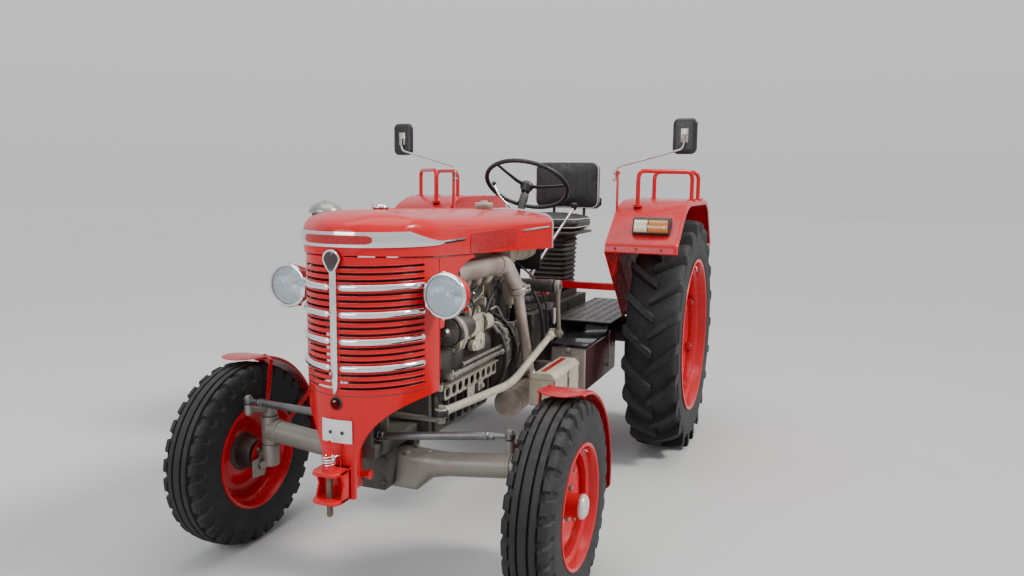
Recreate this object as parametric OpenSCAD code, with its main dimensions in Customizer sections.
/* [Wheels] */
// distance from the rear axle to the front axle
wheelbase = 2220; // [2100:1:2400]
// radius of the rear tyre over its lugs
rear_r = 728; // [700:1:740]
// width of the rear tyre
rear_w = 315; // [280:1:330]
// radius of the rear rim's flange
rear_rim_r = 482; // [460:1:500]
// half of the rear track
rear_y = 800; // [790:1:860]
// radius of the front tyre
front_r = 420; // [400:1:430]
// width of the front tyre
front_w = 196; // [170:1:205]
// radius of the front rim's flange
front_rim_r = 250; // [230:1:260]
// half of the front track
front_y = 776; // [770:1:820]

/* [Steering] */
// distance of a kingpin from the middle
kingpin_y = 620; // [600:1:630]
// length of the steering arms and of the lever's front arm
arm_len = 139; // [120:1:150]
// reach of the centre lever to its drag link ball
lever_reach = 285; // [270:1:300]
// radius of the steering wheel
steering_r = 258; // [220:1:265]
// tilt of the steering wheel from level, in degrees
steering_tilt = 34; // [30:1:38]

/* [Body] */
// half of the width of the front cover
cover_hw = 273; // [260:1:280]
// length of the rounded nose of the cover
nose_len = 332; // [300:1:350]
// half of the width of the bonnet
bonnet_hw = 285; // [280:1:292]
// thickness of the sheet metal
sheet = 4; // [2:0.5:5]
// radius of a headlamp over its rim
lamp_r = 90; // [80:1:95]
// height of the bonnet's crown above the front edge
bonnet_top = 1570; // [1555:1:1590]
// gap from the rear tyre to the fender's top
fender_gap = 129; // [110:1:150]
// inner side of a fender
fender_y = 540; // [530:1:560]
// width of a fender
fender_w = 410; // [390:1:430]

/* [Fits] */
// radial clearance of a turning bearing
run = 0.3; // [0.2:0.05:0.5]
// gap beside a part that turns
side_gap = 2; // [1:0.5:3]
// gap of a curved seat
seat_gap = 0.2; // [0.1:0.05:0.4]

/* [Hidden] */
$fn = 64;
silver = [0.62, 0.6, 0.55];
red = [0.78, 0.06, 0.06];
chrome = [0.85, 0.86, 0.88];
black = [0.05, 0.05, 0.06];
dark = [0.14, 0.14, 0.15];

x_front = wheelbase + 480;           // front face of the hitch jaw
mid_x = (x_front - rear_r) / 2;      // the origin lies below the box's middle
module place() translate([-mid_x, 0, 0]) children();

module along_y(r, y0, y1) translate([0, y0, 0]) rotate([-90, 0, 0]) cylinder(r = r, h = y1 - y0);
module along_x(r, x0, x1) translate([x0, 0, 0]) rotate([0, 90, 0]) cylinder(r = r, h = x1 - x0);
module block(x0, x1, y0, y1, z0, z1) translate([x0, y0, z0]) cube([x1 - x0, y1 - y0, z1 - z0]);
module bar(p, q, r) {
    d = q - p;
    l = norm(d);
    translate(p) rotate([0, acos(d[2] / l), atan2(d[1], d[0])]) cylinder(r = r, h = l);
}
// bent tube: straight stretches with a slightly swollen ball at each bend
bend_swell = 0.8;
module bent_tube(p, r) {
    for (i = [0 : len(p) - 2]) bar(p[i], p[i + 1], r);
    for (i = [1 : len(p) - 2]) translate(p[i]) sphere(r = r + bend_swell);
}
module side_view(y0, y1) translate([0, y1, 0]) rotate([90, 0, 0]) linear_extrude(y1 - y0) children();
module front_view(x0, x1) translate([x0, 0, 0]) rotate([90, 0, 90]) linear_extrude(x1 - x0) children();
module right() mirror([0, 1, 0]) children();
module round_rect(x0, x1, y0, y1, r) {
    translate([x0 + r, y0]) square([x1 - x0 - 2 * r, y1 - y0]);
    translate([x0, y0 + r]) square([x1 - x0, y1 - y0 - 2 * r]);
    for (x = [x0 + r, x1 - r], y = [y0 + r, y1 - r]) translate([x, y]) circle(r = r);
}
// outline with its inner corners eased into short curves
function ease(a, b, c, n) = [for (k = [0 : n]) let (t = k / n) (1 - t) * (1 - t) * a + 2 * t * (1 - t) * b + t * t * c];
function eased(p, cut, n) = concat([p[0]], [for (i = [1 : len(p) - 2])
    let (u = p[i - 1] - p[i], v = p[i + 1] - p[i], l = min(cut, norm(u) * 0.45, norm(v) * 0.45))
    each ease(p[i] + u / norm(u) * l, p[i], p[i] + v / norm(v) * l, n)], [p[len(p) - 1]]);

// driveline planes along the tractor
case_x0 = -190;
case_x1 = 1190;
bell_x1 = 1470;
engine_x1 = wheelbase - 140;
case_hw = 165;
case_z0 = 560;
case_z1 = 930;
deck_z = 975;
axle_r = 34;
trumpet_r = 85;
trumpet_y1 = 565;
platform_z = rear_r + 127;
fender_top = 2 * rear_r + fender_gap;
plate_t = 6;

module transmission() place() color(silver) {
    gear_case();
    bell();
}
module gear_case() difference() {
    union() {
        block(case_x0, 900, -case_hw, case_hw, case_z0, case_z1);
        block(900, case_x1, -150, 150, 580, 900);
        block(-120, 500, -120, 120, case_z1, deck_z);
        translate([0, 0, rear_r]) {
            along_y(trumpet_r, -trumpet_y1, trumpet_y1);
            for (s = [-1, 1]) along_y(120, s > 0 ? trumpet_y1 - 25 : -trumpet_y1, s > 0 ? trumpet_y1 : 25 - trumpet_y1);
        }
    }
    for (s = [-1, 1]) translate([0, 0, rear_r]) along_y(axle_r + run, s > 0 ? 480 : -trumpet_y1 - 1, s > 0 ? trumpet_y1 + 1 : -480);
}

module bell() {
    translate([0, 0, 800]) rotate([0, 90, 0]) translate([0, 0, case_x1]) cylinder(r1 = 170, r2 = 235, h = bell_x1 - case_x1);
    block(case_x1, bell_x1, -60, 60, 900, 1060);
}

rib_n = 7;
sump_z0 = 565;
rail_z0 = 770;
block_z0 = 960;
block_hw = 125;
head_z0 = 1170;
head_z1 = 1250;
module engine_block() place() color(silver) {
    block(bell_x1, engine_x1 - 30, -140, 140, sump_z0, rail_z0);
    for (s = [-1, 1], i = [0 : rib_n - 1])
        block(bell_x1 + 40 + i * 75, bell_x1 + 52 + i * 75, s > 0 ? 140 : -165, s > 0 ? 165 : -140, sump_z0 + 20, rail_z0);
    block(bell_x1, engine_x1, -185, 185, rail_z0, rail_z0 + 30);
    block(bell_x1, engine_x1, -case_hw, case_hw, rail_z0 + 30, block_z0);
    block(bell_x1 + 30, engine_x1 - 30, -block_hw, block_hw, block_z0, head_z0);
    block(bell_x1 + 25, engine_x1 - 25, -135, 135, head_z0, head_z1);
    block(bell_x1 + 50, engine_x1 - 50, -100, 50, head_z1, 1295);
    block(engine_x1 - 30, engine_x1, -140, 140, block_z0, 1120);
    translate([0, 0, fan_z]) {
        along_x(10, engine_x1 - 5, fan_x + 18);
        along_x(45, engine_x1 - 5, fan_x - 25);
    }
}

// front frame: carries the axle, the radiator and the centre lever
pivot_z = front_r + 50;
beam_hx = 70;
beam_z0 = front_r - 25;
beam_z1 = front_r + 125;
spine_z0 = 580;
spine_z1 = front_r + 215;
deck2_z0 = 800;
deck2_z1 = 830;
lever_x = wheelbase + 60;
post_r = 20;
frame_x1 = wheelbase + 250;
pin_r = 22;
module front_frame() place() color(silver) {
    block(engine_x1, frame_x1, -90, 90, spine_z0, spine_z1);
    block(engine_x1, frame_x1, -150, 150, deck2_z0, deck2_z1);
    block(engine_x1, engine_x1 + 30, -140, 140, spine_z0, deck2_z0);
    block(frame_x1 - 25, frame_x1, -70, 70, spine_z0, deck2_z0);
    for (x = [wheelbase - beam_hx - 60, wheelbase + beam_hx + side_gap])
        block(x, x + 60 - side_gap, -75, 75, beam_z0 + 10, spine_z0);
    translate([0, 0, pivot_z]) along_x(pin_r, wheelbase - beam_hx - 20, wheelbase + beam_hx + 20);
    translate([lever_x, 0, spine_z1]) cylinder(r = post_r, h = deck2_z0 - spine_z1);
}

module half_plan(grow) {
    intersection() {
        translate([wheelbase + 48, 0]) scale([(nose_len + grow) / 100, (cover_hw + grow) / 100]) circle(r = 100);
        translate([wheelbase + 48, -400]) square([500, 800]);
    }
}
module plan_solid(grow, z0, z1, back = 0) translate([0, 0, z0]) linear_extrude(z1 - z0) {
    half_plan(grow);
    if (back > 0) translate([wheelbase + 48 - back, -cover_hw - grow]) square([back, 2 * (cover_hw + grow)]);
}

nose_x0 = wheelbase + 48;            // where the rounded nose starts
cover_z0 = 886;
nose_z0 = 458;
nose_wall = 14;
nose_x = wheelbase + 48 + nose_len;
module nose() place() color(red) {
    intersection() {
        difference() {
            plan_solid(0, nose_z0, cover_z0);
            plan_solid(-nose_wall, nose_z0 - 1, cover_z0 + 1, 1);
            translate([0, 0, 835]) along_x(24, nose_x - 60, nose_x + 10);
        }
        front_view(wheelbase, nose_x + 10) difference() {
            translate([-cover_hw, nose_z0]) square([2 * cover_hw, cover_z0 - nose_z0]);
            for (s = [-1, 1]) {
                translate([s * 360, 560]) circle(r = 290);
                translate([s > 0 ? 70 : -360, nose_z0 - 1]) square([290, 103]);
            }
        }
    }
    difference() {
        block(frame_x1, nose_x - 10, -30, 30, nose_z0 + 12, deck2_z1);
        translate([0, 0, 835]) along_x(24, nose_x - 60, nose_x + 10);
        difference() {
            block(nose_x - 40, nose_x + 10, -40, 40, nose_z0, cover_z0);
            plan_solid(-nose_wall / 2, nose_z0 - 1, cover_z0 + 1);
        }
    }
}

hitch_x1 = x_front;
hitch_pin_x = x_front - 45;
hitch_pin_r = 12.5;
jaw_z0 = 465;
jaw_z1 = 590;
module front_hitch() place() color(red) {
    hitch_jaw();
    hitch_pin();
}
module hitch_jaw() difference() {
    union() {
        block(nose_x - 30, hitch_x1, -60, 60, jaw_z0, jaw_z0 + 18);
        block(nose_x - 30, hitch_x1, -60, 60, jaw_z1 - 18, jaw_z1);
        block(nose_x - 30, nose_x + 18, -60, 60, jaw_z0, jaw_z1);
    }
    plan_solid(seat_gap, jaw_z0 - 1, jaw_z1 + 1);
    translate([hitch_pin_x, 0, jaw_z0 - 1]) cylinder(r = hitch_pin_r + run, h = jaw_z1 - jaw_z0 + 2);
}
module hitch_pin() translate([hitch_pin_x, 0, 0]) {
    translate([0, 0, 406]) cylinder(r = hitch_pin_r, h = 300);
    translate([0, 0, jaw_z1]) cylinder(r = 20, h = 60);
    translate([0, 0, 690]) rotate([90, 0, 0]) translate([0, 0, -30]) cylinder(r = 6, h = 60);
}

rad_x0 = wheelbase + 5;
rad_x1 = wheelbase + 80;
neck_r = 25;
part_slope = 0.049;
function part_z(x) = 1320 + part_slope * (x - 900);
module radiator() place() color(dark) {
    radiator_cap();
    block(rad_x0, rad_x1, -215, 215, deck2_z1, 1360);
    translate([(rad_x0 + rad_x1) / 2, 0, 1360]) cylinder(r = neck_r, h = bonnet_top - 1360);
}
module radiator_cap() translate([(rad_x0 + rad_x1) / 2, 0, bonnet_top]) {
    cylinder(r = 34, h = 14);
    translate([-10, -8, 14]) cube([70, 16, 6]);
}

fan_x = engine_x1 + 60;
fan_z = 1040;
module fan() place() color(dark) translate([0, 0, fan_z]) difference() {
    union() {
        along_x(30, fan_x - 20, fan_x + 15);
        for (a = [0 : 60 : 359]) rotate([a, 0, 0]) translate([fan_x, 0, 20]) rotate([0, 0, 25]) block(-3, 3, -32, 32, 0, 165);
    }
    along_x(10 + run, fan_x - 30, fan_x + 30);
}

// louvred front cover
bar_pitch = 103;
bar_top = 1282;
slot_pitch = bar_pitch / 4;
slot_h = 12;
slot_end = 102;
top_gap = 5;
spear_hw = 17;
module part_cut(gap) side_view(-500, 500) polygon([[800, part_z(800) - gap], [3000, part_z(3000) - gap], [3000, 2200], [800, 2200]]);
module front_cover() place() color(red) difference() {
    plan_solid(0, cover_z0, 1420, 338);
    plan_solid(-sheet, cover_z0 - 1, 1421, 339);
    louvres();
    part_cut(top_gap);
    side_view(-500, 500) {
        translate([wheelbase - 290, 1050]) circle(r = 300);
        translate([wheelbase - 300, 880]) square([348, 210]);
    }
}

// three slots between two chrome bars, every fourth place is a bar's
slot_rows = [for (i = [-3 : 15]) if (i % 4 != 0) bar_top - i * slot_pitch];
module louvres() for (z = slot_rows, s = [-1, 1])
    block(wheelbase + 48 + slot_end, nose_x + 10, s > 0 ? spear_hw : -cover_hw, s > 0 ? cover_hw : -spear_hw, z - slot_h / 2, z + slot_h / 2);

bonnet_x0 = 905;
hinge_x = 945;
hinge_z = 1478;
// section of the bonnet: flat strips along a corner arc and a wide crown arc that meet in line
corner = 60;
crown_z = 1546;
corner_z = 1460;
corner_y = bonnet_hw - corner;
crown_d = (corner_y * corner_y + pow(crown_z - corner - corner_z, 2)) / (2 * (crown_z - corner - corner_z));
crown_cz = crown_z - corner - crown_d;
crown_a = atan2(corner_y, corner_z - crown_cz);
function arc_pts(c, r, a0, a1, n) = [for (i = [0 : n]) let (a = a0 + (a1 - a0) * i / n) c + [r[0] * sin(a), r[1] * cos(a)]];
function bonnet_pts(g) = concat(
    [[bonnet_hw + g, 1200]], arc_pts([corner_y, corner_z], [corner + g, corner + g], 90, crown_a, 6),
    [for (i = [1 : 9]) let (a = crown_a * (1 - i / 5)) [(crown_z - crown_cz + g) * sin(a), crown_cz + (crown_z - crown_cz + g) * cos(a)]],
    arc_pts([-corner_y, corner_z], [corner + g, corner + g], -crown_a, -90, 6), [[-bonnet_hw - g, 1200]]);
round_x = nose_x - 270;
round_z = 1485;
module bonnet_form(grow) intersection() {
    translate([1500, 0, 1525]) rotate([0, -1.4, 0]) translate([-1500, 0, -1525]) front_view(600, 2900) polygon(bonnet_pts(grow));
    translate([0, 0, 1200]) linear_extrude(500) {
        intersection() {
            translate([wheelbase + 48, 0]) scale([(nose_len + 2 + grow) / 100, (bonnet_hw + grow) / 100]) circle(r = 100);
            translate([wheelbase + 48, -400]) square([500, 800]);
        }
        translate([bonnet_x0, -bonnet_hw - grow]) square([wheelbase + 48 - bonnet_x0, 2 * (bonnet_hw + grow)]);
    }
    side_view(-400, 400) polygon(concat([[600, 1210], [600, 1700], [round_x - 40, 1700]], arc_pts([round_x, round_z], [nose_x + 2 - round_x + grow, 86 + grow], 0, 90, 8), [[nose_x + 2 + grow, 1210]]));
}
module bonnet() place() color(red) {
    difference() {
        bonnet_form(0);
        translate([-10, 0, 0]) bonnet_form(-sheet);
        side_view(-500, 500) polygon([[800, 1100], [3000, 1100], [3000, part_z(3000)], [800, part_z(800)]]);
        translate([(rad_x0 + rad_x1) / 2, 0, 1500]) cylinder(r = 42, h = 200);
        translate([filler_x, 0, 1480]) cylinder(r = 52, h = 200);
    }
    translate([hinge_x, 0, hinge_z]) for (s = [-1, 1]) difference() {
        union() {
            along_y(12, s > 0 ? 150 : -180, s > 0 ? 180 : -150);
            block(-4, 12, s > 0 ? 150 : -180, s > 0 ? 180 : -150, 0, 36);
        }
        along_y(6 + run, s > 0 ? 149 : -181, s > 0 ? 181 : -149);
    }
}

tank_x0 = 1000;
tank_x1 = 1375;
tank_z0 = 1270;
tank_z1 = 1460;
filler_x = 1206;
module fuel_tank() place() color(silver) {
    filler_cap();
    front_view(tank_x0, tank_x1) {
        translate([-225, tank_z0 + 50]) square([450, tank_z1 - tank_z0 - 50]);
        translate([-175, tank_z0]) square([350, 60]);
        for (s = [-1, 1]) translate([s * 175, tank_z0 + 50]) circle(r = 50);
    }
    translate([filler_x, 0, tank_z1]) cylinder(r = 40, h = 90);
    for (x = [case_x1 + 20, tank_x1 - 40]) block(x, x + 12, -60, 60, 1060, tank_z0);
}
module filler_cap() translate([filler_x, 0, tank_z1 + 90]) {
    cylinder(r = 46, h = 22);
    translate([0, 0, 22]) cylinder(r = 18, h = 10);
}

bulk_x0 = 960;
module bulkhead() place() color(dark) {
    block(bulk_x0, bulk_x0 + 15, -240, 240, 1200, 1460);
    for (s = [-1, 1]) block(bulk_x0, bulk_x0 + 15, s > 0 ? 60 : -120, s > 0 ? 120 : -60, 900, 1200);
    for (s = [-1, 1]) difference() {
        union() {
            block(hinge_x - 10, bulk_x0 + 15, s > 0 ? 182 : -200, s > 0 ? 200 : -182, 1440, hinge_z);
            translate([hinge_x, 0, hinge_z]) along_y(12, s > 0 ? 182 : -200, s > 0 ? 200 : -182);
        }
    }
    translate([hinge_x, 0, hinge_z]) for (s = [-1, 1]) along_y(6, s > 0 ? 145 : -200, s > 0 ? 200 : -145);
}

wheel_x = 560;
wheel_z = 1666;
shaft_x = 1080;
shaft_z = 1130;
col_dx = tan(steering_tilt);
module steering_column() place() color(dark) {
    block(930, case_x1 - 20, -50, 50, 900, 1175);
    difference() {
        bar([wheel_x + 60 * col_dx, 0, wheel_z - 60], [wheel_x + 640 * col_dx, 0, wheel_z - 640], 26);
        bar([wheel_x - 10 * col_dx, 0, wheel_z + 10], [wheel_x + 140 * col_dx, 0, wheel_z - 140], 12 + run);
    }
    translate([shaft_x, 0, shaft_z]) {
        along_y(34, 50, pitman_y - 5);
        along_y(16, pitman_y - 10, pitman_y + 30);
    }
}
pitman_y = 365;
ball_x = 1049;
ball_z = 870;
module pitman_arm() place() color(silver) difference() {
    union() {
        translate([shaft_x, 0, shaft_z]) along_y(34, pitman_y, pitman_y + 28);
        translate([ball_x, 0, ball_z]) along_y(24, pitman_y, pitman_y + 28);
        bar([shaft_x, pitman_y + 14, shaft_z], [ball_x, pitman_y + 14, ball_z], 13);
    }
    translate([shaft_x, 0, shaft_z]) along_y(16 + run, pitman_y - 5, pitman_y + 33);
}
link_y = lever_reach;
link_z = front_r + 326;
link_x = lever_x;
link_bend = [1597, 322, 711];
module drag_link() place() color(silver) {
    bar([link_x - 18, link_y + 1, link_z], link_bend, 15);
    bar(link_bend, [ball_x + 4, pitman_y - 22, ball_z - 1], 15);
    translate(link_bend) rotate([0, 97, 0]) sphere(r = 18);
    translate([ball_x, 0, ball_z]) along_y(24, pitman_y - 39, pitman_y - 5);
    difference() {
        translate([link_x, link_y, link_z - 18]) cylinder(r = 27, h = 36);
        translate([link_x, link_y, link_z - 19]) cylinder(r = 10 + run, h = 38);
    }
}

module steering_wheel() place() color(black) translate([wheel_x, 0, wheel_z]) rotate([0, -steering_tilt, 0]) {
    rotate_extrude() translate([steering_r - 13, 0]) circle(r = 13);
    translate([0, 0, -55]) cylinder(r = 40, h = 55);
    for (a = [60, 180, 300]) rotate([0, 0, a]) bar([30, 0, -30], [steering_r - 14, 0, 0], 8);
    translate([0, 0, -130]) cylinder(r = 12, h = 90);
}

// centre lever, tie rods and knuckles: an exact parallelogram
rod_z = front_r + 295;
rod_low = front_r + 235;
rod_high = front_r + 298;
rod_r = 12;
boss_h = 22;
front_arm_z = front_r + 266;
drag_arm_z = front_r + 294;
module steering_lever() place() color(silver) difference() {
    union() {
        translate([lever_x, 0, spine_z1 + 5]) cylinder(r = 36, h = deck2_z0 - spine_z1 - 10);
        bar([lever_x, 0, front_arm_z], [lever_x + arm_len, 0, front_arm_z], 13);
        bar([lever_x, 0, drag_arm_z], [link_x, link_y, drag_arm_z], 11);
        translate([lever_x + arm_len, 0, rod_low - 15]) cylinder(r = 10, h = rod_high - rod_low + 30);
        translate([link_x, link_y, drag_arm_z - 11]) cylinder(r = 18, h = 23);
        translate([link_x, link_y, drag_arm_z]) cylinder(r = 10, h = link_z + 20 - drag_arm_z);
    }
    translate([lever_x, 0, spine_z1]) cylinder(r = post_r + run, h = deck2_z0 - spine_z1);
}
module tie_rod(inner_z) difference() {
    union() {
        bar([lever_x + arm_len, 10, inner_z], [wheelbase + arm_len, kingpin_y - 10, rod_z], rod_r);
        translate([lever_x + arm_len, 0, inner_z]) cylinder(r = 20, h = boss_h, center = true);
        translate([wheelbase + arm_len, kingpin_y, rod_z]) cylinder(r = 20, h = boss_h, center = true);
    }
    translate([lever_x + arm_len, 0, inner_z]) cylinder(r = 10 + run, h = 60, center = true);
    translate([wheelbase + arm_len, kingpin_y, rod_z]) cylinder(r = 10 + run, h = 60, center = true);
}
module tie_rod_left() place() color(silver) tie_rod(rod_low);
module tie_rod_right() place() color(silver) right() tie_rod(rod_high);

sleeve_r = 38;
sleeve_z0 = front_r + 60;
sleeve_z1 = front_r + 190;
king_r = 20;
module front_axle() place() color(silver) difference() {
    union() {
        block(wheelbase - beam_hx, wheelbase + beam_hx, -180, 180, beam_z0, beam_z1);
        for (s = [-1, 1]) bar([wheelbase, s * 160, front_r + 75], [wheelbase, s * (kingpin_y - 10), front_r + 125], 50);
        for (s = [-1, 1]) translate([wheelbase, s * kingpin_y, sleeve_z0]) cylinder(r = sleeve_r, h = sleeve_z1 - sleeve_z0);
    }
    for (s = [-1, 1]) translate([wheelbase, s * kingpin_y, sleeve_z0 - 30]) cylinder(r = king_r + run, h = sleeve_z1 - sleeve_z0 + 60);
    translate([0, 0, pivot_z]) along_x(pin_r + run, wheelbase - beam_hx - 1, wheelbase + beam_hx + 1);
}

hub_y = kingpin_y + 70;
knuckle_z0 = front_r - 45;
arm_ball_z = front_r + 241;
module knuckle_part() {
    translate([wheelbase, kingpin_y, knuckle_z0]) cylinder(r = king_r, h = 300);
    translate([wheelbase, kingpin_y, knuckle_z0]) cylinder(r = sleeve_r, h = sleeve_z0 - side_gap - knuckle_z0);
    translate([wheelbase, 0, front_r]) {
        along_y(36, kingpin_y, hub_y - side_gap);
        along_y(20, kingpin_y, front_y + 50);
    }
    translate([wheelbase, kingpin_y, sleeve_z1 + side_gap]) cylinder(r = 34, h = 60);
    bar([wheelbase, kingpin_y, front_r + 225], [wheelbase + arm_len, kingpin_y, front_r + 255], 14);
    translate([wheelbase + arm_len, kingpin_y, arm_ball_z]) cylinder(r = 10, h = rod_z + 20 - arm_ball_z);
    translate([wheelbase + arm_len, kingpin_y, arm_ball_z]) cylinder(r = 18, h = rod_z - boss_h / 2 - 5 - arm_ball_z);
}
module knuckle_left() place() color(silver) knuckle_part();
module knuckle_right() place() color(silver) right() knuckle_part();

// cycle fenders over the rear top of the front wheels, turning with them
mud_r = front_r + 38;
module front_fender_part() translate([wheelbase, 0, front_r]) {
    rotate([90, 0, 0]) translate([0, 0, -front_y - 95]) intersection() {
        difference() {
            cylinder(r = mud_r, h = 190);
            translate([0, 0, -1]) cylinder(r = mud_r - sheet, h = 192);
        }
        translate([0, 0, -1]) linear_extrude(200) polygon([[0, 0], [160, 520], [-600, 520], [-600, 60]]);
    }
}
module front_fender_left() place() color(red) { front_fender_part(); fender_stay(); }
module front_fender_right() place() color(red) right() { front_fender_part(); fender_stay(); }
module fender_stay() translate([wheelbase, 0, front_r]) {
    for (a = [100, 150]) rotate([0, 180 + a, 0]) block(60, mud_r - sheet, 661, 667, -12, 12);
    difference() {
        along_y(75, 661, 667);
        along_y(36 + seat_gap, 660, 668);
    }
    for (a = [100, 150]) rotate([0, 180 + a, 0]) block(mud_r - sheet - 8, mud_r - sheet, 661, front_y - 60, -12, 12);
}

module ring_y(r1, r0, y0, y1) difference() { along_y(r1, y0, y1); along_y(r0, y0 - 1, y1 + 1); }
// half profile of a carcass as [share of the depth, share of the half width]
carcass = [[0, 0.84], [0.085, 0.84], [0.22, 0.985], [0.46, 1], [0.70, 0.96], [0.80, 0.86], [0.86, 0.62], [0.88, 0.3]];
module tyre_body(r, w, bore, fill) rotate([-90, 0, 0]) rotate_extrude() polygon(concat(
    [for (c = carcass) [bore + c[0] * (r - bore) * fill, c[1] * w / 2]],
    [for (i = [len(carcass) - 1 : -1 : 0]) [bore + carcass[i][0] * (r - bore) * fill, -carcass[i][1] * w / 2]]));

rear_bore = rear_rim_r - 20;
front_bore = front_rim_r - 18;
lug_n = 22;
lug_w = 46;
lug_lean = 44;                       // angle of a lug from the axle, in degrees
lug_h = 118;
lug_edge = [rear_r - 38, rear_r - 11];
module rear_tyre_part() translate([0, rear_y, rear_r]) {
    tyre_body(rear_r, rear_w, rear_bore, 0.961);
    intersection() {
        for (s = [0, 1], i = [0 : lug_n - 1]) rotate([0, (i + s / 2) * 360 / lug_n, 0]) translate([0, 0, rear_r - lug_h])
            mirror([0, s, 0]) rotate([0, 0, lug_lean]) block(-lug_w / 2, lug_w / 2, -14, 225, 0, lug_h);
        rotate([-90, 0, 0]) rotate_extrude() polygon([[rear_r - 140, -rear_w / 2], [lug_edge[0], -rear_w / 2], [lug_edge[1], 22 - rear_w / 2],
            [rear_r, -60], [rear_r, 60], [lug_edge[1], rear_w / 2 - 22], [lug_edge[0], rear_w / 2], [rear_r - 140, rear_w / 2]]);
    }
}
module rear_tyre_left() place() color(black) rear_tyre_part();
module rear_tyre_right() place() color(black) right() rear_tyre_part();

// grooves of a front tyre: places across the tread
grooves = [-53, -20, 20, 53];
groove_w = 7;
groove_d = 15;
module front_tyre_part() translate([wheelbase, front_y, front_r]) difference() {
    tyre_body(front_r, front_w, front_bore, 1.136);
    rotate([-90, 0, 0]) rotate_extrude() for (g = grooves) translate([front_r - groove_d, g - groove_w / 2]) square([40, groove_w]);
}
module front_tyre_left() place() color(black) front_tyre_part();
module front_tyre_right() place() color(black) right() front_tyre_part();

tyre_gap = 0.8;
clamp_n = 8;
// rim section with its well as [depth below the tyre's bore, place across]
rear_well = [[0, 143], [0, 105], [-31, 94], [-31, -30], [0, -45], [0, -143], [-8, -143], [-8, -50], [-39, -36], [-39, 100], [-8, 112], [-8, 143]];
front_well = [[0, 89], [0, 72], [-21, 58], [-21, -45], [0, -58], [0, -89], [-6, -89], [-6, -62], [-28, -50], [-28, 62], [-6, 76], [-6, 89]];
// dished disc as [radius, place across]
rear_dish = [[423, 42], [405, 40], [385, 0], [300, -22], [235, -28], [190, -4], [155, 4], [100, 4], [100, -12], [170, -12], [235, -42], [360, -26], [395, -2], [407, 24], [423, 28]];
front_dish = [[204, 20], [190, 26], [168, 32], [145, 30], [122, 20], [106, 12], [55, 12], [55, 0], [106, 2], [122, 9], [145, 19], [168, 21], [190, 15], [204, 6]];
module rim_ring(bore, half, section, dish, lip) rotate([-90, 0, 0]) rotate_extrude($fn = 96) {
    polygon([for (q = section) [bore - tyre_gap + q[0], q[1]]]);
    for (s = [-1, 1]) translate([bore - 8, s * half - lip / 2]) square([lip + 6, lip]);
    polygon(dish);
}
module rear_rim_part() translate([0, rear_y, rear_r]) {
    rim_ring(rear_bore, rear_w / 2 - 11, rear_well, rear_dish, 12);
    for (i = [0 : clamp_n - 1]) rotate([0, (i + 0.5) * 360 / clamp_n, 0]) block(-26, 26, 36, 66, 393, 425);
    along_y(112, -100, 14);
    rotate([-90, 0, 0]) translate([0, 0, 14]) cylinder(r1 = 108, r2 = 72, h = 36);
    along_y(60, 50, 78);
    along_y(axle_r, 500 - rear_y, -40);
    along_y(60, trumpet_y1 + side_gap - rear_y, -90);
}
module rear_rim_left() place() color(red) rear_rim_part();
module rear_rim_right() place() color(red) right() rear_rim_part();

module front_rim_part() translate([wheelbase, front_y, front_r]) difference() {
    union() {
        rim_ring(front_bore, front_w / 2 - 6, front_well, front_dish, 10);
        along_y(62, hub_y - front_y, 26);
        along_y(86, 8, 22);
        along_y(47, 26, 92);
        along_y(50, 92, 106);
        along_y(36, 106, 117);
    }
    along_y(20 + run, hub_y - front_y - 1, 55);
}
module front_rim_left() place() color(red) front_rim_part();
module front_rim_right() place() color(red) right() front_rim_part();

// grille trim in front of the louvres
bar_h = 29;
bar_out = 12;
ring_r = 34;
ring_z = 1390;
open_gap = 8;                        // room for the bonnet's nose to swing up
bar_zs = [for (i = [0 : 3]) bar_top - i * bar_pitch];
module grille_trim() place() color(chrome) {
    difference() {
        union() {
            for (z = bar_zs) {
                plan_solid(bar_out - 5, z - bar_h / 2, z + bar_h / 2);
                plan_solid(bar_out, z - bar_h / 3, z + bar_h / 3);
            }
        }
        plan_solid(seat_gap, 800, 1500);
        block(0, wheelbase + 48 + slot_end, -500, 500, 800, 1500);
        block(nose_x - 60, nose_x + 60, -spear_hw, spear_hw, 800, 1500);
    }
    difference() {
        translate([0, 0, ring_z]) along_x(ring_r, nose_x - 20, nose_x + 18);
        plan_solid(seat_gap, 1300, 1500);
        plan_solid(open_gap, 1398, 1500);
        translate([0, 0, ring_z]) along_x(ring_r - 9, nose_x + 12, nose_x + 30);
    }
    difference() {
        plan_solid(20, 876, 1365);
        plan_solid(seat_gap, 800, 1500);
        block(0, 4000, 15, 500, 800, 1500);
        block(0, 4000, -500, -15, 800, 1500);
    }
}

lamp_x = wheelbase + 180;
lamp_y = 360;
lamp_z = 1247;
module headlamp_part() {
    difference() {
        union() {
            translate([lamp_x, lamp_y, lamp_z]) rotate([0, 90, 0]) rotate_extrude() difference() {
                intersection() {
                    scale([lamp_r / 100, 1.35]) circle(r = 100);
                    translate([0, -200]) square([200, 200]);
                }
            }
            translate([lamp_x, lamp_y, lamp_z]) rotate([0, 90, 0]) rotate_extrude() polygon([[0, -10], [0, 15], [lamp_r * 0.4, 13.5], [lamp_r * 0.7, 9],
                [lamp_r - 9, 4], [lamp_r - 8, 9], [lamp_r - 3, 8], [lamp_r + 1.5, 0], [lamp_r - 2, -10]]);
            translate([lamp_x - 60, 0, lamp_z]) along_y(14, 200, lamp_y - 40);
        }
        plan_solid(seat_gap, 1100, 1400);
    }
}
module headlamps() place() color(red) { headlamp_part(); right() headlamp_part(); }

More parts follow.
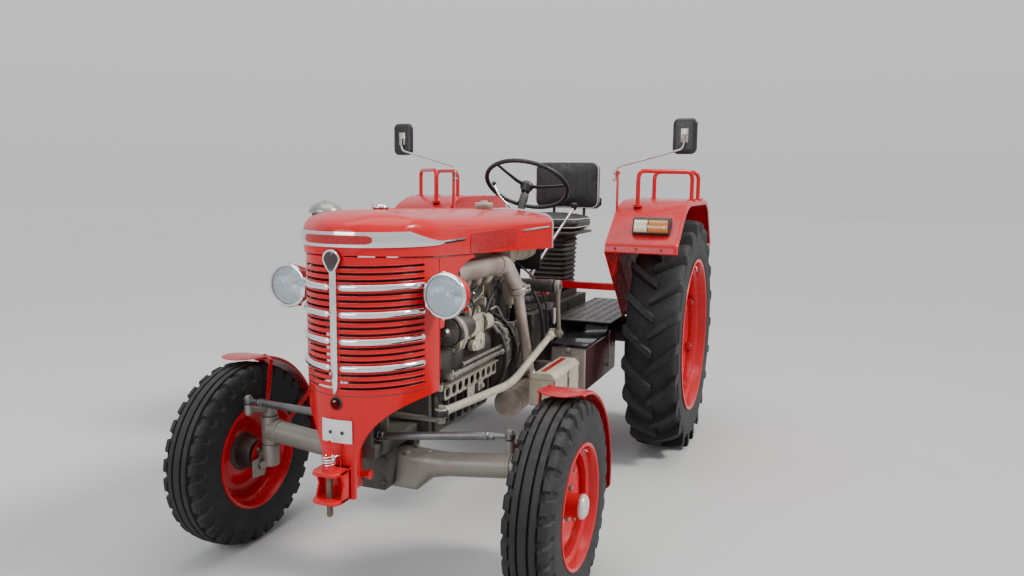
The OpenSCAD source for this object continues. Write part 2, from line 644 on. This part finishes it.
pre_x = wheelbase - 180;
pre_y = -420;
module air_cleaner() place() color(silver) {
    translate([pre_x, pre_y, 1010]) cylinder(r = 85, h = 290);
    translate([pre_x, pre_y, 1300]) cylinder(r = 30, h = 240);
    translate([pre_x, pre_y, 1530]) rotate_extrude() polygon([[0, 0], [100, 0], [118, 12], [112, 30], [80, 50], [0, 58]]);
    translate([pre_x, 0, 1210]) along_y(26, pre_y + 20, -135);
    block(pre_x - 30, engine_x1 - 40, pre_y + 60, -block_hw, 1060, 1110);
}

// exhaust on the left: collector duct, elbow, slanted pipe and muffler
man_y = 212;
duct_r = 52;
duct_z = 1285;
duct_x1 = 2040;
elbow_x = 1452;
clamp_p = [1345, 248, 1145];
muff_p = [1075, 236, 560];
muff_r = 68;
port_xs = [1580, 1705, 1830, 1955];
module exhaust() place() color(silver) {
    manifold();
    down_pipe();
    muffler();
}
module manifold() {
    translate([0, man_y, duct_z]) along_x(duct_r, elbow_x + 60, duct_x1);
    translate([duct_x1, man_y, duct_z]) scale([0.5, 1, 1]) sphere(r = duct_r);
    bent_tube([[elbow_x + 100, man_y, duct_z], [elbow_x, man_y + 14, duct_z], clamp_p], 42);
    for (x = port_xs) {
        translate([x, 0, 1210]) along_y(28, 135, 160);
        bar([x, 156, 1212], [x + 30, man_y, duct_z - 10], 20);
    }
}
module down_pipe() bar(clamp_p, muff_p, 26);
module muffler() {
    translate([0, muff_p[1], muff_p[2]]) {
        along_x(muff_r, 1000, 1440);
        translate([1440, 0, 0]) scale([0.4, 1, 1]) sphere(r = muff_r - 1);
        along_x(24, -150, 1000);
    }
    block(1040, 1080, 150, 200, 600, 640);
}

// battery box beside the gear case, its lid plate is the step
step_x0 = 270;
step_x1 = 940;
step_y0 = 300;
step_y1 = 500;
step_z0 = 525;
step_z1 = 784;
module step_arms() for (x = [330, 780]) block(x, x + 50, case_hw, step_y0, 600, 650);
module battery_box() place() color(silver) {
    block(step_x0, step_x1, step_y0, step_y1, step_z0, step_z1);
    block(step_x0 - 8, step_x1 + 8, step_y0 - 8, step_y1 + 8, step_z1, step_z1 + plate_t);
    step_arms();
}

tool_x0 = 1090;
tool_x1 = 1480;
tool_y0 = 372;
tool_y1 = 506;
tool_z0 = 580;
tool_z1 = 714;
tool_wall = 3;
lid_gap = 1;
module toolbox() place() color(silver) {
    difference() {
        block(tool_x0, tool_x1, tool_y0, tool_y1, tool_z0, tool_z1);
        block(tool_x0 + tool_wall, tool_x1 - tool_wall, tool_y0 + tool_wall, tool_y1 - tool_wall, tool_z0 + tool_wall, tool_z1 + 1);
    }
    block(step_x1, tool_x0, tool_y0 + 40, tool_y1 - 40, tool_z0 + 20, tool_z0 + 60);
    for (x = [tool_x0 + 60, tool_x1 - 90]) {
        block(x, x + 30, tool_y0 - 20, tool_y0, tool_z1 - 30, tool_z1 - 8);
        difference() {
            translate([0, tool_y0 - 12, tool_z1 + 2]) along_x(8, x, x + 30);
            translate([0, tool_y0 - 12, tool_z1 + 2]) along_x(3 + run, x - 1, x + 31);
        }
        block(x, x + 30, tool_y0 - 20, tool_y0 - 4, tool_z1 - 12, tool_z1 - 4);
    }
}
module toolbox_lid() place() color(silver) {
    translate([tool_x0 - 4, 0, 0]) front_view(0, tool_x1 - tool_x0 + 8)
        polygon([[tool_y0, tool_z1 + lid_gap], [tool_y1 + 4, tool_z1 + lid_gap], [tool_y1 + 4, tool_z1 + 14], [tool_y1 - 24, tool_z1 + 36], [tool_y0 + 30, tool_z1 + 36], [tool_y0, tool_z1 + 14]]);
    for (x = [tool_x0 + 60, tool_x1 - 90]) {
        translate([0, tool_y0 - 12, tool_z1 + 2]) along_x(3, x - 14, x + 44);
        for (e = [x - 14, x + 32]) {
            translate([0, tool_y0 - 12, tool_z1 + 2]) along_x(7, e, e + 12);
            block(e, e + 12, tool_y0 - 12, tool_y0 + 1, tool_z1 + 2, tool_z1 + 9);
        }
    }
}

plat_x0 = -430;
plat_x1 = 560;
module platform_part() {
    block(plat_x0, plat_x1, case_hw, fender_y, platform_z, platform_z + plate_t);
    block(plat_x0, 270, fender_y, fender_y + sheet, platform_z, platform_z + plate_t);
}
module platform() place() color(dark) {
    platform_feet();
    platform_part();
    right() right_platform();
}
module platform_feet() for (s = [-1, 1]) difference() {
    block(-40, 40, s > 0 ? 400 : -460, s > 0 ? 460 : -400, rear_r + 40, platform_z);
    translate([0, 0, rear_r]) along_y(trumpet_r + seat_gap, -600, 600);
}
module right_platform() {
    platform_part();
    block(step_x0, step_x1, step_y0, step_y1, step_z1, step_z1 + plate_t);
    step_arms();
    for (x = [330, 780]) block(x, x + 50, step_y0, step_y0 + 60, 600, step_z1);
}

// fender: side outline as [x, z] from the lip over the top to the rear
lip_x = rear_r + 17;                 // front edge of the fender
lip_z0 = fender_top - 310;
lip_z1 = fender_top - 245;
bend_x = rear_r - 228;               // where the front slope meets the curve
bend_z = fender_top - 55;
back_x = 118 - rear_r;
fender_frame = [[lip_x, lip_z0], [lip_x - 10, lip_z1], [bend_x, bend_z], [rear_r - 388, fender_top], [348 - rear_r, fender_top], [back_x, fender_top - 315]];
function inset_frame(t) = [[lip_x - t, lip_z0 - 20], [lip_x - 10 - t, lip_z1 - t * 0.6], [bend_x - t * 0.35, bend_z - t * 1.1],
    [rear_r - 388 - t * 0.2, fender_top - t], [348 - rear_r + t * 0.5, fender_top - t], [back_x + t * 1.2, fender_top - 335]];
fender_ease = 120;
fender_pts = eased(fender_frame, fender_ease, 6);
function inset_pts(t) = eased(inset_frame(t), fender_ease, 6);
inner_low = platform_z + plate_t;
module fender_part() difference() {
    union() {
        side_view(fender_y, fender_y + fender_w) polygon(fender_pts);
        side_view(fender_y, fender_y + sheet) polygon([[lip_x, lip_z0], [270, inner_low], [plat_x0, inner_low], [back_x, fender_top - 315], [-300, fender_top - 185], [300, fender_top - 185]]);
    }
    side_view(fender_y + sheet, fender_y + fender_w + 1) polygon(concat(inset_pts(sheet), [[back_x, 900], [lip_x, 900]]));
}
module rear_fenders() place() color(red) { fender_part(); right() fender_part(); }
module fender_brace() place() color(red) {
    block(410, 460, -fender_y, fender_y, 1040, 1080);
    for (s = [-1, 1]) block(410, 460, s > 0 ? 60 : -100, s > 0 ? 100 : -60, deck_z, 1040);
}

rail_r = 13;
rail_z = fender_top + 170;
module rail_part() {
    bent_tube([[470, 660, bend_z - 30], [470, 660, rail_z], [180, 925, rail_z], [180, 925, fender_top]], rail_r);
    bent_tube([[106, 680, fender_top], [106, 680, rail_z], [-60, 925, rail_z], [-60, 925, fender_top]], rail_r);
}
module rail_cut() difference() {
    rail_part();
    side_view(fender_y, fender_y + fender_w + 10) polygon(concat(fender_pts, [[back_x, 900], [lip_x, 900]]));
}
module grab_rails() place() color(red) { rail_cut(); right() rail_cut(); }

mirror_y1 = 985;
post_z1 = fender_top + 168;
module mirror_part() {
    block(447, 487, fender_y - 8, fender_y, fender_top - 205, post_z1);
    bent_tube([[467, fender_y - 15, post_z1 - 53], [467, fender_y - 15, post_z1 + 22], [467, mirror_y1 - 70, post_z1 + 127], [467, mirror_y1 - 70, post_z1 + 202], [445, mirror_y1 - 70, post_z1 + 202]], 7);
    block(460, 474, fender_y - 22, fender_y - 8, post_z1 - 63, post_z1 - 33);
    front_view(430, 452) round_rect(mirror_y1 - 140, mirror_y1, post_z1 + 97, post_z1 + 302, 34);
}
module mirrors() place() color(black) { mirror_part(); right() mirror_part(); }

lip_gap = 0.1;
function lip_z(x) = lip_z1 + (lip_x - 10 - x) * (bend_z - lip_z1) / (lip_x - 10 - bend_x) + lip_gap;
module lamp_part() side_view(680, 890) let (x = rear_r - 67) polygon([[x, lip_z(x)], [x - 99, lip_z(x - 99)], [x - 61, fender_top - 95], [x + 7, fender_top - 99], [x + 29, fender_top - 181]]);
module lamps() place() color(red) {
    lamp_part();
    right() lamp_part();
    rear_lamp_part();
    right() rear_lamp_part();
}
module rear_lamp_part() side_view(760, 900) polygon([[back_x + 23, fender_top - 283.5], [back_x + 92, fender_top - 189], [back_x + 45, fender_top - 189], [back_x - 30, fender_top - 275]]);

seat_z = 1360;
bellow_n = 12;
bellow_h = (seat_z - 20 - deck_z) / bellow_n;
back_x0 = -280;
module seat_post() place() color(black) {
    for (i = [0 : bellow_n - 1]) block(-85 - 12 * (i % 2), 195 + 12 * (i % 2), -118 - 12 * (i % 2), 118 + 12 * (i % 2), deck_z + i * bellow_h, min(deck_z + (i + 1) * bellow_h + 0.5, seat_z - 10));
    block(-150, 230, -190, 190, seat_z - 20, seat_z);
    for (s = [-1, 1]) {
        block(back_x0 - 12, back_x0 - seat_gap, s > 0 ? 90 : -130, s > 0 ? 130 : -90, seat_z - 20, 1640);
        block(back_x0 - 12, -150, s > 0 ? 90 : -130, s > 0 ? 130 : -90, seat_z - 20, seat_z);
    }
}
module seat_cushion() place() color(black) translate([0, 0, seat_z + 0.3]) linear_extrude(117.7) round_rect(-200, 260, -220, 220, 80);
module seat_back() place() color(black) front_view(back_x0, -205) round_rect(-238, 238, 1500, 1835, 55);

module levers() place() color(chrome) {
    gear_lever();
    throttle_lever();
}
module gear_lever() difference() {
    union() {
        bent_tube([[660, 40, 925], [600, 100, 1200], [300, 220, 1520]], 9);
        translate([300, 220, 1530]) sphere(r = 20);
    }
    block(500, 900, -200, 200, 800, case_z1);
}
module throttle_lever() difference() {
    union() {
        bar([wheel_x + 70 * col_dx, 0, wheel_z - 80], [620, -225, 1598], 6);
        translate([620, -235, 1599]) sphere(r = 14);
    }
    bar([wheel_x + 40 * col_dx, 0, wheel_z - 40], [wheel_x + 400 * col_dx, 0, wheel_z - 400], 26.2);
}
module pedals() for (s = [-1, 1]) {
    block(620, 650, s > 0 ? case_hw : -225, s > 0 ? 225 : -case_hw, 760, 790);
    bar([635, s * 215, 775], [760, s * 215, 960], 9);
    translate([765, s * 215, 965]) rotate([0, 35, 0]) cube([70, 60, 12], center = true);
}

module injection_pump() place() color(silver) {
    fuel_filter();
    block(1620, 1840, block_hw, 215, block_z0, 1060);
    for (i = [0 : 3]) translate([1650 + i * 52, 175, 1060]) cylinder(r = 11, h = 40);
    translate([0, 175, 1010]) along_x(42, 1560, 1620);
}
module generator() place() color(dark) {
    translate([0, 215, 1040]) {
        along_x(52, 1880, 2050);
        along_x(62, 2066, 2092);
        along_x(10, 2050, 2110);
    }
    block(1940, 1980, 125, 180, 1025, 1055);
}
module fuel_filter() {
    translate([1240, 150, 1062]) cylinder(r = 45, h = 120);
    translate([1240, 150, 1182]) cylinder(r = 55, h = 22);
    block(1225, 1265, 50, 110, 1060, 1200);
}
module pedal_linkage() place() color(dark) {
    pedals();
    control_rods();
}
module control_rods() {
    for (z = [862, 895]) translate([0, 215, z]) along_x(11, 1500, 2020);
    for (x = [1520, 1980]) block(x, x + 20, case_hw, 226, 850, 907);
}

draw_r = 16;
draw_x = -470;
module rear_hitch() place() color(silver) {
    drawbar();
    pto_shaft();
}
module drawbar() difference() {
    union() {
        block(-230, case_x0, -100, 100, 470, 620);
        block(-510, -230, -45, 45, 480, 505);
        translate([draw_x - 40, 0, 480]) cylinder(r = 45, h = 25);
    }
    translate([draw_x, 0, 470]) cylinder(r = draw_r, h = 50);
}
pto_r = 17.4;
module pto_shaft() translate([0, 0, 700]) {
    along_x(45, case_x0 - 20, case_x0);
    along_x(pto_r, case_x0 - 100, case_x0 - 20);
}

module bonnet_trim() place() color(chrome) {
    for (s = [-1, 1], span = [[nose_x0 - 208, nose_x0], [bonnet_x0 + 65, bonnet_x0 + 485]])
        block(span[0], span[1], s > 0 ? bonnet_hw : -bonnet_hw - 5, s > 0 ? bonnet_hw + 5 : -bonnet_hw, 1434, 1446);
    difference() {
        band(6);
        band(seat_gap);
        block(0, nose_x0 + 1, -400, 400, 1300, 1600);
    }
}
module band(grow) intersection() {
    translate([0, 0, 1432]) linear_extrude(52)
        translate([wheelbase + 48, 0]) scale([(nose_len + 2 + grow) / 100, (bonnet_hw + grow) / 100]) circle(r = 100);
    side_view(-400, 400) polygon([[nose_x0, 1434], [nose_x0, 1446], [nose_x0 + 182, 1484], [x_front, 1484], [x_front, 1432], [nose_x0, 1432]]);
}

engine_block();
transmission();
front_frame();
front_axle();
nose();
front_hitch();
radiator();
fan();
front_cover();
grille_trim();
bonnet();
bonnet_trim();
headlamps();
air_cleaner();
fuel_tank();
bulkhead();
exhaust();
injection_pump();
generator();
pedal_linkage();
steering_column();
steering_wheel();
pitman_arm();
drag_link();
steering_lever();
tie_rod_left();
tie_rod_right();
knuckle_left();
knuckle_right();
front_fender_left();
front_fender_right();
front_tyre_left();
front_tyre_right();
front_rim_left();
front_rim_right();
rear_tyre_left();
rear_tyre_right();
rear_rim_left();
rear_rim_right();
battery_box();
toolbox();
toolbox_lid();
platform();
rear_fenders();
fender_brace();
grab_rails();
mirrors();
lamps();
seat_post();
seat_cushion();
seat_back();
levers();
rear_hitch();
